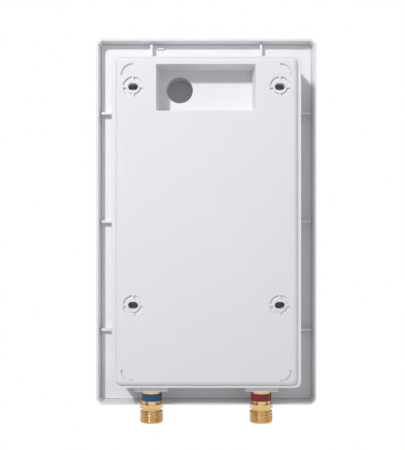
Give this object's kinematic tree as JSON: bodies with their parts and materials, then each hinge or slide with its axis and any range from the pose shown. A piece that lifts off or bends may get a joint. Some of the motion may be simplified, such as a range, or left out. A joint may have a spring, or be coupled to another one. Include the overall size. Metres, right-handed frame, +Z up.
{
  "type": "tankless water heater",
  "caption": "Compact wall-mounted electric tankless water heater: white hood over a rear tray with screw slots and a cable pocket, brass cold and hot water fittings below.",
  "frame": {"origin": "centre of the four wall screw slots, on the wall plane", "axes": "+Y into the wall, +Z up, +X towards the cold water side"},
  "size_m": [0.205, 0.1092, 0.3537],
  "materials": {
    "white_plastic": "fine matt texture",
    "cover_plastic": "satin white",
    "dark_window": "polished, smoked",
    "button_plastic": "satin light grey",
    "zinc_steel": "zinc plated",
    "stainless_steel": "drawn stainless",
    "yellow_brass": "turned, bare",
    "blue_plastic": "satin blue",
    "red_plastic": "satin dark red",
    "black_rubber": "moulded",
    "red_rubber": "cut sheet",
    "black_plastic": "glass filled",
    "dark_plastic": "moulded",
    "ivory_plastic": "natural",
    "grey_plastic": "moulded",
    "copper_pipe": "drawn copper",
    "tinned_copper": "tinned",
    "element_sheath": "annealed sheath",
    "bare_aluminium": "milled",
    "green_board": "solder mask",
    "capacitor_sleeve": "shrink sleeve",
    "brown_insulation": "smooth",
    "blue_insulation": "smooth",
    "green_yellow_insulation": "smooth",
    "black_insulation": "smooth",
    "grey_insulation": "smooth"
  },
  "bodies": {
    "chassis": {"rear_panel": "white_plastic", "slot_caps": "white_plastic", "inlet_fitting": "yellow_brass", "outlet_fitting": "yellow_brass", "inlet_ring": "blue_plastic", "outlet_ring": "red_plastic", "fitting_seals": "black_rubber", "fitting_clips": "stainless_steel", "inlet_strainer": "stainless_steel", "flow_sensor_body": "black_plastic", "turbine_axle": "stainless_steel", "hall_pickup": "dark_plastic", "outlet_adapter": "black_plastic", "inlet_pipe": "copper_pipe", "outlet_pipe": "copper_pipe", "vessel_shell": "stainless_steel", "vessel_gasket": "red_rubber", "vessel_head": "stainless_steel", "head_bolts": "zinc_steel", "heating_elements": "element_sheath", "element_link": "tinned_copper", "link_nuts": "zinc_steel", "vessel_straps": "stainless_steel", "strap_screws": "zinc_steel", "cooling_block": "bare_aluminium", "triac_modules": "black_plastic", "triac_board": "green_board", "triac_tabs": "tinned_copper", "inlet_sensor": "yellow_brass", "outlet_sensor": "yellow_brass", "thermal_cutout": "black_plastic", "cutout_clip": "stainless_steel", "terminal_block": "grey_plastic", "terminal_screws": "zinc_steel", "tray_screws": "zinc_steel", "cable_clamp_bar": "grey_plastic", "board_pillars": "zinc_steel", "board_carrier": "black_plastic", "carrier_screws": "zinc_steel", "control_board": "green_board", "board_screws": "zinc_steel", "display_module": "dark_plastic", "tact_switches": "dark_plastic", "relay": "blue_plastic", "capacitors": "capacitor_sleeve", "control_chip": "dark_plastic", "board_connectors": "ivory_plastic", "live_wires": "brown_insulation", "neutral_wire": "blue_insulation", "earth_wire": "green_yellow_insulation", "element_wires": "black_insulation", "sensor_leads": "grey_insulation"},
    "cover": {"front_cover": "cover_plastic", "display_window": "dark_window", "cover_screw": "zinc_steel", "screw_cap": "cover_plastic"},
    "button_up": {"button_up": "button_plastic"},
    "button_down": {"button_down": "button_plastic"},
    "turbine": {"turbine_wheel": "ivory_plastic"},
    "reset": {"reset_button": "red_plastic"}
  },
  "joints": [
    {"name": "cover_lift_off", "type": "slide", "parent": "chassis", "child": "cover", "axis": [0, -1, 0], "range_m": [0, 0.12]},
    {"name": "button_up_press", "type": "slide", "parent": "cover", "child": "button_up", "axis": [0, 1, 0], "range_m": [0, 0.0005], "stiffness_N_per_m": 2000, "springref_m": -0.0006},
    {"name": "button_down_press", "type": "slide", "parent": "cover", "child": "button_down", "axis": [0, 1, 0], "range_m": [0, 0.0005], "stiffness_N_per_m": 2000, "springref_m": -0.0006},
    {"name": "turbine_spin", "type": "hinge", "parent": "chassis", "child": "turbine", "pos_m": [0.05, -0.022, -0.1431], "axis": [0, 0, 1], "continuous": true},
    {"name": "reset_button_press", "type": "slide", "parent": "chassis", "child": "reset", "axis": [0, 1, 0], "range_m": [0, 0.002], "stiffness_N_per_m": 600, "springref_m": -0.002}
  ]
}
